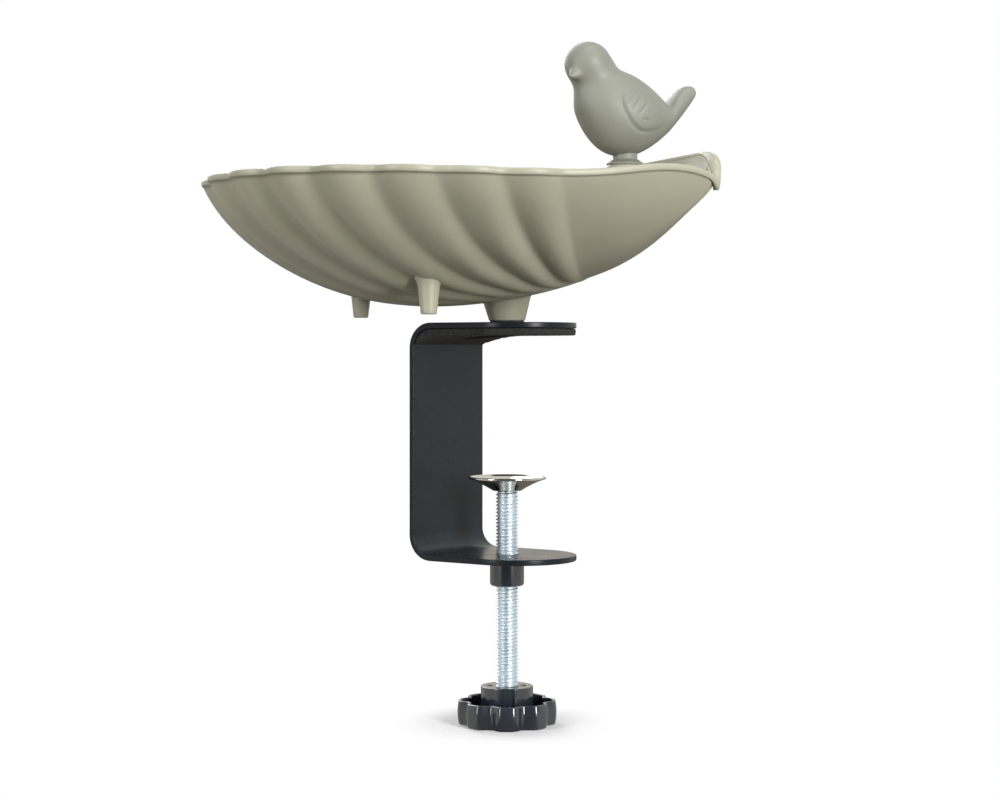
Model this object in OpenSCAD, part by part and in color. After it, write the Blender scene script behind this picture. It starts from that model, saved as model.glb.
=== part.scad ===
// Balcony bird bath: a cast scallop shell dish with a perching bird,
// standing on a screw clamp that grips a balcony rail from below.
// Units are millimetres and +Z is up. The origin is on the clamp screw axis,
// at the face of the pad that rests on the rail. +X points out of the jaw.

/* [Shell dish] */
// radius of the round outline of the fan
fan_radius = 89.5; // [60:0.5:130]
// distance from the boss axis forward to the middle of the round outline
fan_offset = 17.2; // [0:0.1:35]
// distance from the boss axis forward to the lowest point of the bowl
bowl_offset = 30; // [10:0.5:50]
// height of the lowest point of the bowl above the foot of the boss
bowl_lift = 4.8; // [3:0.1:12]
// height of the bowl from its lowest outer point to the rim
bowl_height = 41; // [25:0.5:70]
// extra height of the rim at the front of the fan
front_rise = 2.4; // [0:0.1:8]
// thickness of the cast wall
wall = 2.6; // [1.8:0.1:5]
// number of ribs in the fan
rib_count = 13; // [7:2:21]
// angle covered by the ribs, seen from the point where they meet
fan_angle = 123; // [80:1:150]
// distance from the boss axis back to the point where the ribs meet
umbo_offset = 33.4; // [20:0.1:45]
// depth of a rib groove as a share of the rib width
rib_relief = 0.125; // [0.04:0.005:0.2]
// height of the rounded bead that edges the rim
bead_height = 2.2; // [1.2:0.1:4]
// distance the bead stands out from the wall
bead_reach = 0.6; // [0.2:0.1:2]
// angle of the dish about the boss, from the jaw direction
dish_turn = 56.4; // [0:0.1:360]

/* [Hinge ledge] */
// distance from the boss axis back to the straight hinge edge
hinge_offset = 47.5; // [38:0.5:65]
// height of the hinge edge above the rim
hinge_rise = 10.2; // [4:0.1:20]
// half length of the straight part of the hinge edge
hinge_half = 58.5; // [35:0.5:75]
// length over which the end of the hinge edge rounds down
hinge_shoulder = 16; // [5:0.5:25]
// depth of the notch between the hinge edge and the ear
ear_notch = 1; // [0:0.1:12]
// extra outward reach of the ears beyond the round outline
ear_reach = 8; // [0:0.5:20]
// height that the edge of each ear rises above the rim
ear_rise = 3.4; // [0:0.1:10]
// angle over which the ear spreads along the rim
ear_spread = 17; // [8:1:30]
// angle over which the crest of the ear rises
ear_crest = 13; // [4:1:20]
// angle over which the notch beside the ear opens
notch_spread = 6; // [2:0.5:10]
// extra outward reach of the bead along the hinge edge
hinge_lip = 1.6; // [0:0.1:5]
// depth to which the lip of the hinge edge rolls down behind the wall
hinge_skirt = 3.4; // [0:0.1:6]
// angle over which the lip of the hinge edge runs out
lip_fade = 5; // [2:0.5:12]

/* [Boss and feet] */
// diameter of the mounting boss at its foot
boss_foot_d = 13; // [10:0.1:20]
// diameter of the mounting boss where it meets the bowl
boss_top_d = 17.8; // [12:0.1:26]
// distance from the boss axis forward to the two feet
foot_forward = 42.3; // [25:0.1:65]
// distance of each foot from the middle plane of the shell
foot_side = 37; // [15:0.1:60]
// diameter of a foot at its end
foot_end_d = 5.4; // [3:0.1:10]
// diameter of a foot where it meets the bowl
foot_root_d = 8; // [5:0.1:14]
// height of the ends of the feet above the foot of the boss
foot_lift = 1.4; // [0.4:0.1:5]
// depth of the boss and feet in the wall, as a share of its thickness
leg_sink = 0.78; // [0.5:0.01:0.9]

/* [Bird] */
// distance of the axis of the bird seat inside the hinge edge
seat_inset = 1.6; // [0:0.1:8]
// height of the bird seat above the hinge edge
seat_step = 0.2; // [0.1:0.1:2]
// diameter of the round seat under the bird
seat_d = 13.4; // [10:0.1:20]
// thickness of the round seat under the bird
seat_t = 2; // [1:0.1:4]
// diameter of the neck between the seat and the body
neck_d = 8.8; // [6:0.1:13]
// diameter of the head
head_d = 17.2; // [12:0.1:25]
// forward distance of the head from the seat axis
head_forward = 14.7; // [6:0.1:22]
// height of the middle of the head above the seat
head_lift = 35.5; // [25:0.1:50]
// angle the head is turned to the left
head_turn = 40; // [-60:1:60]
// angle the beak points below level
beak_dip = 33; // [0:1:45]
// distance the full nape reaches behind the middle of the head
nape_back = 6; // [2:0.1:10]
// distance the full nape reaches below the middle of the head
nape_drop = 7.1; // [2:0.1:12]
// distance from the middle of the head to the tip of the beak
beak_reach = 11.5; // [8:0.1:18]
// half width of the body at its widest
body_half = 12.9; // [7:0.1:18]
// distance from the seat axis forward to the breast
breast_reach = 19.4; // [12:0.1:28]
// distance from the seat axis back to the tip of the tail
tail_reach = 27.9; // [18:0.1:38]
// height of the tip of the tail above the seat
tail_lift = 26.3; // [14:0.1:36]
// thickness of the tail near its tip
tail_t = 3.9; // [1.5:0.1:5]
// height of the belly above the seat
belly_lift = 3.3; // [2:0.1:6]
// height of the back above the seat
back_lift = 35; // [24:0.1:48]

/* [Clamp bracket] */
// width of the steel strip
strip_w = 42; // [25:0.5:70]
// thickness of the steel strip
strip_t = 2; // [1.2:0.1:4]
// inside radius of the two bends
bend_r = 6.8; // [3:0.1:12]
// distance from the inside of the back to the screw axis
throat = 25.4; // [18:0.1:50]
// distance from the screw axis to the middle of the rounded tip
tip_offset = 4.2; // [0:0.1:12]
// distance from the pad face down to the lower jaw
jaw_gap = 77; // [45:0.5:130]

/* [Clamp pad] */
// thickness of the foam pad under the upper jaw
pad_t = 2.5; // [1.5:0.1:6]
// glue gap between the pad and the bend of the bracket
pad_gap = 0.08; // [0.02:0.01:0.3]
// distance the edge of the pad stays inside the edge of the strip
pad_inset = 0.4; // [0:0.1:3]
// distance the pad hangs down where it meets the back of the bracket
pad_sag = 3.2; // [1:0.1:3.4]
// distance from the screw axis back to where the pad starts to hang
pad_flat = 5.8; // [0:0.1:16]

/* [Clamp screw] */
// outside diameter of the clamp screw thread
thread_d = 8; // [5:0.5:12]
// pitch of the clamp screw thread
thread_pitch = 1.25; // [0.8:0.05:1.75]
// gap all round between the screw and the bores it turns in
screw_play = 0.1; // [0.02:0.01:0.3]
// distance from the pad face down to the rim of the swivel disc
jaw_open = 49.7; // [20:0.1:70]
// length from the rim of the swivel disc down to the top of the knob hub
screw_reach = 73.8; // [50:0.1:120]
// distance across the flats of the hexagon head inside the knob
hex_flats = 13; // [8:0.5:20]
// height of the hexagon head inside the knob
hex_h = 5.3; // [3:0.1:8]
// diameter of the turned-down stub that carries the swivel disc
stub_d = 5.4; // [3:0.1:8]
// diameter of the peened end that keeps the disc on the stub
peen_d = 7.6; // [5:0.1:11]
// thickness of the peened end
peen_t = 1.3; // [0.8:0.1:3]

/* [Screw bush] */
// diameter of the threaded bush under the lower jaw
bush_d = 12; // [10:0.1:20]
// length of the threaded bush
bush_l = 9.2; // [5:0.1:16]
// radius of the rounded lower edge of the bush
bush_edge = 1; // [0.3:0.1:2]

/* [Swivel disc] */
// outside diameter of the swivel disc
disc_d = 27.6; // [18:0.1:42]
// height of the swivel disc
disc_h = 5; // [3:0.1:8]
// thickness of the pressed disc metal
disc_t = 0.9; // [0.5:0.1:2]
// diameter of the flat middle of the disc
disc_flat_d = 10; // [7.6:0.1:16]
// gap all round between the disc and the stub it turns on
disc_play = 0.1; // [0.02:0.01:0.3]
// end play of the disc between the screw shoulder and the peened end
disc_float = 0.3; // [0.1:0.05:0.8]

/* [Star knob] */
// diameter over the lobes of the star knob
knob_d = 35; // [24:0.5:60]
// height of the lobed wall of the knob
knob_h = 8.5; // [5:0.1:16]
// number of lobes
lobe_count = 8; // [5:1:10]
// radius of the grooves between the lobes
lobe_groove = 4.4; // [1.6:0.1:7]
// depth of the grooves between the lobes
lobe_depth = 2.4; // [0.4:0.1:3]
// thickness of the lobed wall
knob_wall = 1.5; // [1:0.1:3]
// thickness of the floor of the knob
knob_floor = 1.8; // [1:0.1:4]
// diameter of the hub of the knob
hub_d = 18.4; // [16:0.1:28]
// distance the hub stands above the lobed wall
hub_rise = 5; // [0:0.1:12]
// width of the slot in the hub
hub_slot = 5; // [2:0.1:7]
// wall left between the slot and the hexagon pocket
slot_wall = 1.2; // [0.8:0.1:2]
// diameter of the two core holes in the hub
core_hole_d = 2.4; // [1.5:0.1:4]
// angle of the knob about the screw
knob_turn = -55; // [-180:1:180]

/* [Fixing screws] */
// diameter of the screw that holds the dish
dish_screw_d = 4; // [3:0.5:6]
// head diameter of the screw that holds the dish
dish_head_d = 7; // [5:0.1:12]
// head height of the screw that holds the dish
dish_head_h = 1.2; // [0.8:0.1:2.5]
// depth of the screw in the boss of the dish
dish_grip = 7.5; // [5:0.5:11]
// thickness of the washer under the head of that screw
dish_washer_t = 0.6; // [0.3:0.1:1]
// thickness of the fibre washer between the boss and the bracket
seat_washer_t = 0.7; // [0.4:0.1:2]
// diameter of the stud that holds the bird
bird_stud_d = 3; // [2:0.5:5]
// depth of the stud in the bird
bird_grip = 9; // [5:0.5:16]
// depth of the stud in the post
post_grip = 7; // [4:0.5:12]
// height of the post under the bird seat
post_h = 11; // [7:0.5:16]
// gap all round between a fixing screw or stud and its hole
fixing_play = 0.2; // [0.05:0.05:0.5]

/* [Hidden] */
$fn = 96;
eps = 0.01;
over = 1;

// levels
plate_low = pad_t;
plate_top = pad_t + strip_t;
lower_top = -jaw_gap;
lower_low = lower_top - strip_t;
back_in = -throat;
boss_foot = plate_top + seat_washer_t;
bowl_low = boss_foot + bowl_lift;
rim_z = bowl_low + bowl_height;
hinge_z = rim_z + hinge_rise;
disc_rim = -jaw_open;
disc_low = disc_rim - disc_h;
hub_top = disc_rim - screw_reach;
knob_top = hub_top - hub_rise;
knob_low = knob_top - knob_h;
shoulder_z = disc_low - disc_float / 2;
seat_z = hinge_z + seat_step;
post_low = seat_z - post_h;
seat_offset = hinge_offset - seat_inset;

// plan of the shell, about the lowest point of the bowl
lead = bowl_offset - fan_offset;
corner_angle = atan2(hinge_half + hinge_shoulder, hinge_offset + bowl_offset);
function ear_bump(t, c, w) = exp(-pow((abs(t) - c) / w, 2));
function round_r(t) = lead * cos(t) + sqrt(pow(fan_radius, 2) - pow(lead * sin(t), 2))
    + ear_reach * ear_bump(t, corner_angle, ear_spread);
function chord_r(t) = cos(t) > 0.2 ? (hinge_offset + bowl_offset) / cos(t) : 5 * fan_radius;
function rim_r(t) = pow(pow(round_r(t), -26) + pow(chord_r(t), -26), -1 / 26);

// height of the rim round the shell
function ear_z(t) = ear_rise * ear_bump(t, corner_angle + ear_crest, ear_crest)
    - ear_notch * ear_bump(t, corner_angle, notch_spread);
function shoulder(v) = let(q = min(1, max(0, (v - hinge_half) / hinge_shoulder))) sqrt(1 - q * q);
function hinge_edge(t) = let(low = ear_z(corner_angle))
    low + (hinge_rise - low) * shoulder(abs(rim_r(t) * sin(t)));
function edge_z(t) = rim_z - bead_height + front_rise * max(0, -cos(t))
    + (abs(t) < corner_angle ? hinge_edge(t) : ear_z(t));

// bowl surface without ribs
bowl_k = 0.985;
function bowl_g(s) = (1 - pow(1 - pow(bowl_k * s, 2), 0.75)) / (1 - pow(1 - bowl_k * bowl_k, 0.75));
bowl_rise = bowl_height - bead_height;
function bowl_s(u, v) =
    let(r = sqrt(pow(u + bowl_offset, 2) + v * v),
        t = atan2(v, u + bowl_offset),
        full = round_r(t),
        edge = rim_r(t),
        base = bowl_low + bowl_rise * bowl_g(min(1, r / full)),
        end = bowl_low + bowl_rise * bowl_g(min(1, edge / full)))
    base + (edge_z(t) - end) * pow(min(1, r / edge), 14);

// grid of the shell, fanned out from the point where the ribs meet
rib_angle = fan_angle / rib_count;
rib_steps = 6;
fan_steps = rib_count * rib_steps;
fan_core = 4;
function fan_u(a, d) = umbo_offset - d * cos(a);
function fan_v(a, d) = -d * sin(a);
function outside(a, d) = let(u = fan_u(a, d) + bowl_offset, v = fan_v(a, d))
    sqrt(u * u + v * v) > rim_r(atan2(v, u));
function reach(a, lo, hi, n) = n == 0 ? (lo + hi) / 2
    : let(mid = (lo + hi) / 2) outside(a, mid) ? reach(a, lo, mid, n - 1) : reach(a, mid, hi, n - 1);
function groove(a, d) =
    let(w = d * rib_angle * PI / 180, x = a / rib_angle, f = x - round(x),
        past = (abs(a) - fan_angle / 2) / (rib_angle * 0.9))
    rib_relief * w * (past <= 0 ? pow(2 * f, 2) : exp(-past * past));

// places along the rim behind the ribs, as angles about the lowest point of the bowl
back_deep = hinge_offset + bowl_offset;
fan_end = let(a = fan_angle / 2, d = reach(a, fan_core, 3 * fan_radius, 22))
    abs(atan2(fan_v(a, d), fan_u(a, d) + bowl_offset));
hinge_half_t = [
    for (k = [1 : 5]) atan2(hinge_half * k / 5, back_deep),
    for (k = [1 : 7]) atan2(hinge_half + hinge_shoulder * sin(90 * k / 7), back_deep),
    for (k = [1 : 11]) corner_angle + (fan_end - corner_angle) * pow(k / 12, 1.4)];
side_places = len(hinge_half_t);
back_t = [for (k = [side_places - 1 : -1 : 0]) -hinge_half_t[k], 0, each hinge_half_t];
function rim_to_fan(t) = let(r = rim_r(t)) atan2(-r * sin(t), umbo_offset + bowl_offset - r * cos(t));
angles = [
    for (i = [0 : fan_steps]) -fan_angle / 2 + fan_angle * i / fan_steps,
    for (t = back_t) rim_to_fan(t)];
columns = len(angles);
function col_angle(i) = angles[i];

// slope of the bowl away from its lowest point, just inside a place on it
function slope(u, v) =
    let(p = [u + bowl_offset, v], e = p / max(norm(p), eps), near = p - 0.2 * e, far = p - 0.6 * e)
    e * (bowl_s(near[0] - bowl_offset, near[1]) - bowl_s(far[0] - bowl_offset, far[1])) / 0.4;
function tilt(a, d) = slope(fan_u(a, d), fan_v(a, d));
function unit(p) = p / norm(p);
function skin(a, d, depth) =
    let(u = fan_u(a, d), v = fan_v(a, d), n = unit([each tilt(a, d), -1]),
        far = sqrt(pow(u + bowl_offset, 2) + v * v) / rim_r(atan2(v, u + bowl_offset)),
        level = 1 - pow(min(1, far), 10), cut = groove(a, d) * n)
    [u, v, bowl_s(u, v)] - [cut[0], cut[1], cut[2] * level] - depth * n;

rows = 13;
function row_t(j) = 1 - pow(1 - j / rows, 1.35);
reaches = [for (i = [0 : columns - 1]) reach(col_angle(i), fan_core, 3 * fan_radius, 22)];
function row_d(i, j) = fan_core + (reaches[i] - fan_core) * row_t(j);
function rim_at(i) = let(k = (i + columns) % columns)
    [fan_u(col_angle(k), reaches[k]), fan_v(col_angle(k), reaches[k])];
function flat_out(i) = let(way = unit(rim_at(i + 1) - rim_at(i - 1))) [way[1], -way[0], 0];
function lip_share(i) = let(a = col_angle(i), d = reaches[i], u = fan_u(a, d) + bowl_offset, v = fan_v(a, d))
    min(1, max(0, (corner_angle - abs(atan2(v, u))) / lip_fade + 0.8));
function lip(i) = bead_reach + hinge_lip * lip_share(i);
function outer_row(j) = [for (i = [0 : columns - 1]) skin(col_angle(i), row_d(i, j), 0)];
function inner_row(j) = [for (i = [0 : columns - 1]) skin(col_angle(i), row_d(i, j), wall)];
rim_out = outer_row(rows);
rim_in = inner_row(rows);
function bead_row(share, rise, roll = 0) = [for (i = [0 : columns - 1])
    let(b = flat_out(i), p = rim_out[i], q = [rim_in[i][0], rim_in[i][1], p[2]],
        up = [0, 0, rise - roll * hinge_skirt * lip_share(i)])
    share >= 0 ? p + share * lip(i) * b + up : p + (q - p) * (-share) + up];

module shell_skin() {
    outer = [for (j = [0 : rows]) each outer_row(j)];
    bead = [each bead_row(0.85, bead_height * 0.16, 1), each bead_row(1, bead_height * 0.5, 0.45),
            each bead_row(0.75, bead_height * 0.86), each bead_row(-0.3, bead_height),
            each bead_row(-0.72, bead_height * 0.93), each bead_row(-0.97, bead_height * 0.62)];
    inner = [for (j = [rows : -1 : 0]) each inner_row(j)];
    rings = 2 * (rows + 1) + 6;
    body = [each outer, each bead, each inner];
    last = len(body);
    tips = [skin(0, 0.01, 0), skin(0, 0.01, wall)];
    side = [for (j = [0 : rings - 2], i = [0 : columns - 1])
        let(n = (i + 1) % columns, p = j * columns + i, q = j * columns + n,
            r = p + columns, s = q + columns)
        each [[p, s, q], [p, r, s]]];
    low = [for (i = [0 : columns - 1]) [last, i, (i + 1) % columns]];
    high = [for (i = [0 : columns - 1])
        let(k = (rings - 1) * columns) [last + 1, k + (i + 1) % columns, k + i]];
    polyhedron(points = [each body, each tips], faces = [each side, each low, each high], convexity = 12);
}

// a round leg under the bowl, its top laid along the slope of the wall
module leg(u, v, low, end_d, root_d) {
    lean = slope(u, v);
    translate([u, v, 0])
    hull() {
        translate([0, 0, low])
            cylinder(d = end_d, h = eps);
        translate([0, 0, bowl_s(u, v) + wall * leg_sink])
            rotate([0, 0, atan2(lean[1], lean[0])])
            rotate([0, -atan(norm(lean)), 0])
            cylinder(d = root_d, h = eps);
    }
}

module shell_dish() {
    color([0.52, 0.51, 0.44])
    rotate([0, 0, dish_turn])
    difference() {
        union() {
            shell_skin();
            leg(0, 0, boss_foot, boss_foot_d, boss_top_d);
            for (side = [-1, 1])
                leg(-foot_forward, side * foot_side, boss_foot + foot_lift, foot_end_d, foot_root_d);
            translate([seat_offset, 0, post_low])
                cylinder(d = seat_d, h = post_h);
        }
        translate([0, 0, boss_foot - eps])
            cylinder(d = dish_screw_d + 2 * fixing_play, h = dish_grip + 1);
        translate([seat_offset, 0, seat_z - post_grip - 0.5])
            cylinder(d = bird_stud_d + 2 * fixing_play, h = post_grip + 1);
    }
}

// outline of the bird, with q running from the tip of the tail to the breast
body_deep = back_lift - belly_lift;
function bird_low(q) = belly_lift + (q < 0.6 ? (tail_lift - belly_lift) * pow((0.6 - q) / 0.6, 1.75)
    : 0.53 * body_deep * pow((q - 0.6) / 0.4, 2.6));
function bird_top(q) = q < 0.76
    ? max(back_lift - 0.385 * body_deep * pow((0.76 - q) / 0.49, 2),
          tail_lift + tail_t * (1 - 0.4 * exp(-q / 0.012)) - 8.5 * pow((q - 0.045) / 0.22, 2))
    : back_lift - 0.325 * body_deep * pow((q - 0.76) / 0.24, 2.2);
function bird_half(q) = body_half * (1 - 0.55 * exp(-q / 0.02)) * (q < 0.63
    ? 0.3 + 0.7 * pow(sin(90 * q / 0.63), 1.5)
    : max(0.15, sqrt(1 - pow((q - 0.63) / 0.37, 2.4))));
stations = 26;
sides = 28;
module bird_body() {
    points = [for (j = [0 : stations - 1]) for (k = [0 : sides - 1])
        let(q = 0.5 - 0.5 * cos(180 * j / (stations - 1)), low = bird_low(q), top = bird_top(q))
        [q * (breast_reach + tail_reach) - tail_reach, bird_half(q) * cos(k * 360 / sides),
         (low + top) / 2 + (top - low) / 2 * sin(k * 360 / sides)]];
    side = [for (j = [0 : stations - 2], k = [0 : sides - 1])
        let(p = j * sides + k, q = j * sides + (k + 1) % sides)
        each [[p, p + sides, q], [q, p + sides, q + sides]]];
    back = [[for (k = [0 : sides - 1]) k]];
    front = [[for (k = [sides - 1 : -1 : 0]) (stations - 1) * sides + k]];
    polyhedron(points = points, faces = [each side, each back, each front], convexity = 6);
}

module bird_figure() {
    color([0.55, 0.55, 0.49])
    rotate([0, 0, dish_turn])
    translate([seat_offset, 0, seat_z])
    rotate([0, 0, 180])
    difference() {
        union() {
            cylinder(d = seat_d, h = seat_t);
            cylinder(d = neck_d, h = neck_d * 0.85);
            bird_body();
            translate([head_forward, 0, head_lift]) {
                hull() {
                    sphere(d = head_d, $fn = 40);
                    translate([-nape_back, 0, -nape_drop])
                        sphere(d = head_d * 0.92, $fn = 40);
                }
                rotate([0, 0, head_turn])
                rotate([0, 90 + beak_dip, 0])
                translate([0, 0, head_d * 0.32])
                cylinder(d1 = head_d * 0.5, d2 = 1.2, h = beak_reach - head_d * 0.32, $fn = 32);
            }
        }
        translate([0, 0, -eps])
            cylinder(d = bird_stud_d + 2 * fixing_play, h = bird_grip + 0.5);
    }
}

module bird_fixing_stud() {
    color([0.72, 0.73, 0.75])
    rotate([0, 0, dish_turn])
    translate([seat_offset, 0, seat_z - post_grip])
        cylinder(d = bird_stud_d, h = post_grip + bird_grip);
}

module dish_fixing_screw() {
    color([0.72, 0.73, 0.75])
    translate([0, 0, plate_low - dish_washer_t]) {
        translate([0, 0, -eps])
            cylinder(d = dish_screw_d, h = dish_washer_t + strip_t + seat_washer_t + dish_grip);
        difference() {
            translate([0, 0, -dish_head_h])
                cylinder(d = dish_head_d, h = dish_head_h);
            translate([0, 0, -dish_head_h - eps])
                cylinder(d = dish_head_d * 0.42, h = dish_head_h * 0.6, $fn = 6);
        }
    }
}

module dish_screw_washer() {
    color([0.75, 0.75, 0.77])
    translate([0, 0, plate_low - dish_washer_t])
    difference() {
        cylinder(d = dish_head_d + 1, h = dish_washer_t);
        translate([0, 0, -eps])
            cylinder(d = dish_screw_d + 2 * fixing_play, h = dish_washer_t + 2 * eps);
    }
}

module dish_seat_washer() {
    color([0.12, 0.12, 0.12])
    translate([0, 0, plate_top])
    difference() {
        cylinder(d = boss_foot_d - 1, h = seat_washer_t);
        translate([0, 0, -eps])
            cylinder(d = dish_screw_d + 2 * fixing_play, h = seat_washer_t + 2 * eps);
    }
}

// one jaw plate with a rounded tip, from the bend outwards
module jaw_plate(edge, thick) {
    half = strip_w / 2 - edge;
    start = back_in + bend_r;
    translate([start, -half, 0])
        cube([tip_offset - start, 2 * half, thick]);
    intersection() {
        translate([tip_offset, 0, 0])
            cylinder(r = half, h = thick);
        translate([tip_offset - eps, -half, 0])
            cube([half + 1, 2 * half, thick]);
    }
}

// one bend of the strip, drawn at the upper corner
module strip_bend() {
    turn = bend_r + strip_t;
    translate([back_in + bend_r, 0, plate_low - bend_r])
    intersection() {
        rotate([90, 0, 0])
        difference() {
            cylinder(r = turn, h = strip_w, center = true);
            cylinder(r = bend_r, h = strip_w + 2 * over, center = true);
        }
        translate([-turn, -strip_w / 2, 0])
            cube([turn, strip_w, turn]);
    }
}

module clamp_bracket() {
    color([0.13, 0.13, 0.14])
    difference() {
        union() {
            translate([0, 0, plate_low])
                jaw_plate(0, strip_t);
            translate([0, 0, lower_low])
                jaw_plate(0, strip_t);
            strip_bend();
            translate([0, 0, plate_low + lower_top])
                mirror([0, 0, 1])
                strip_bend();
            translate([back_in - strip_t, -strip_w / 2, lower_top + bend_r])
                cube([strip_t, strip_w, plate_low - lower_top - 2 * bend_r]);
        }
        translate([0, 0, plate_low - over])
            cylinder(d = dish_screw_d + 2 * fixing_play, h = strip_t + 2 * over);
        translate([0, 0, lower_low - over])
            cylinder(d = thread_d + 2 * screw_play, h = strip_t + 2 * over);
    }
}

module clamp_pad() {
    sag_r = (pow(throat - pad_flat, 2) + pad_sag * pad_sag) / (2 * pad_sag);
    wide = strip_w - 2 * pad_inset;
    color([0.09, 0.09, 0.09])
    difference() {
        union() {
            jaw_plate(pad_inset, pad_t);
            difference() {
                translate([back_in + pad_gap, -wide / 2, -pad_sag])
                    cube([throat - pad_flat - pad_gap, wide, pad_t + pad_sag]);
                translate([-pad_flat, 0, -sag_r])
                    rotate([90, 0, 0])
                    cylinder(r = sag_r, h = wide + 2 * over, center = true, $fn = 360);
                difference() {
                    translate([back_in - over, -wide / 2 - over, plate_low - bend_r])
                        cube([bend_r + over, wide + 2 * over, bend_r + over]);
                    translate([back_in + bend_r, 0, plate_low - bend_r])
                        rotate([90, 0, 0])
                        cylinder(r = bend_r - pad_gap, h = wide + 4 * over, center = true);
                }
            }
        }
        translate([0, 0, pad_t - dish_washer_t - dish_head_h - 0.2])
            cylinder(d = dish_head_d + 2, h = pad_t);
    }
}

module screw_bush() {
    color([0.1, 0.1, 0.11])
    translate([0, 0, lower_low - bush_l])
    rotate_extrude()
    difference() {
        union() {
            translate([0, bush_edge])
                square([bush_d / 2, bush_l - bush_edge]);
            square([bush_d / 2 - bush_edge, bush_l]);
            translate([bush_d / 2 - bush_edge, bush_edge])
                circle(r = bush_edge, $fn = 32);
        }
        translate([-1, -1])
            square([thread_d / 2 + screw_play + 1, bush_l + 2]);
    }
}

// hexagon by its distance across the flats
module hexagon(flats, tall) {
    rotate([0, 0, 30])
        cylinder(d = flats / cos(30), h = tall, $fn = 6);
}

module clamp_screw() {
    thread_top = shoulder_z;
    thread_low = knob_low + knob_floor + hex_h;
    color([0.78, 0.79, 0.8]) {
        rotate_extrude()
        polygon([
            [0, thread_low - eps], [thread_d / 2, thread_low - eps],
            [thread_d / 2, thread_top - 0.4], [thread_d / 2 - 0.4, thread_top],
            [stub_d / 2, thread_top], [stub_d / 2, disc_low + disc_t + disc_float / 2],
            [peen_d / 2, disc_low + disc_t + disc_float / 2],
            [peen_d / 2, disc_low + disc_t + disc_float / 2 + peen_t * 0.5],
            [peen_d / 2 - 1.2, disc_low + disc_t + disc_float / 2 + peen_t],
            [0, disc_low + disc_t + disc_float / 2 + peen_t]]);
        translate([0, 0, knob_low + knob_floor])
            rotate([0, 0, knob_turn])
            hexagon(hex_flats, hex_h);
    }
}

module swivel_disc() {
    bore = stub_d / 2 + disc_play;
    rim = disc_d / 2;
    flat = disc_flat_d / 2;
    color([0.75, 0.74, 0.72])
    rotate_extrude()
    polygon([
        [bore, disc_low], [flat - 0.4, disc_low],
        [flat + (rim - flat) * 0.34, disc_low + (disc_h - 1) * 0.42],
        [flat + (rim - flat) * 0.7, disc_low + (disc_h - 1) * 0.78],
        [rim - 0.3, disc_rim - disc_t], [rim, disc_rim - disc_t * 0.6], [rim, disc_rim - 0.2],
        [rim - 0.2, disc_rim], [rim - 1.2, disc_rim],
        [flat + (rim - flat) * 0.68, disc_low + disc_t + (disc_h - 1) * 0.8],
        [flat + (rim - flat) * 0.3, disc_low + disc_t + (disc_h - 1) * 0.44],
        [flat - 0.8, disc_low + disc_t], [bore, disc_low + disc_t]]);
}

module star_knob() {
    half = knob_d / 2;
    groove_at = half - lobe_depth + lobe_groove;
    slot_in = hex_flats / 2 + screw_play + slot_wall;
    color([0.14, 0.14, 0.15])
    translate([0, 0, knob_low])
    rotate([0, 0, knob_turn])
    difference() {
        union() {
            difference() {
                cylinder(r = half, h = knob_h);
                for (k = [0 : lobe_count - 1])
                    rotate([0, 0, (k + 0.5) * 360 / lobe_count])
                    translate([groove_at, 0, -1])
                        cylinder(r = lobe_groove, h = knob_h + 2, $fn = 48);
                translate([0, 0, knob_floor])
                difference() {
                    cylinder(r = half - knob_wall, h = knob_h);
                    for (k = [0 : lobe_count - 1])
                        rotate([0, 0, (k + 0.5) * 360 / lobe_count])
                        translate([groove_at, 0, -1])
                            cylinder(r = lobe_groove + knob_wall, h = knob_h + 2, $fn = 48);
                }
            }
            cylinder(d = hub_d, h = knob_h + hub_rise);
        }
        translate([0, 0, knob_floor])
            hexagon(hex_flats + 2 * screw_play, hex_h + 2 * screw_play);
        translate([0, 0, knob_floor])
            cylinder(d = thread_d + 2 * screw_play, h = knob_h + hub_rise);
        translate([slot_in, -hub_slot / 2, knob_floor])
            cube([hub_d / 2 - slot_in + over, hub_slot, knob_h + hub_rise]);
        for (side = [-1, 1])
            translate([0, side * (thread_d / 2 + core_hole_d / 2 + 0.7), knob_floor + hex_h + 2])
                cylinder(d = core_hole_d, h = knob_h + hub_rise, $fn = 32);
    }
}

shell_dish();
bird_figure();
bird_fixing_stud();
dish_fixing_screw();
dish_screw_washer();
dish_seat_washer();
clamp_bracket();
clamp_pad();
screw_bush();
clamp_screw();
swivel_disc();
star_knob();
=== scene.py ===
# Balcony bird bath: a painted scallop-shell dish with a bird, on a screw clamp.
# Shapes are worked out in millimetres in the CAD frame and stored in metres.
import math

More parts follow.
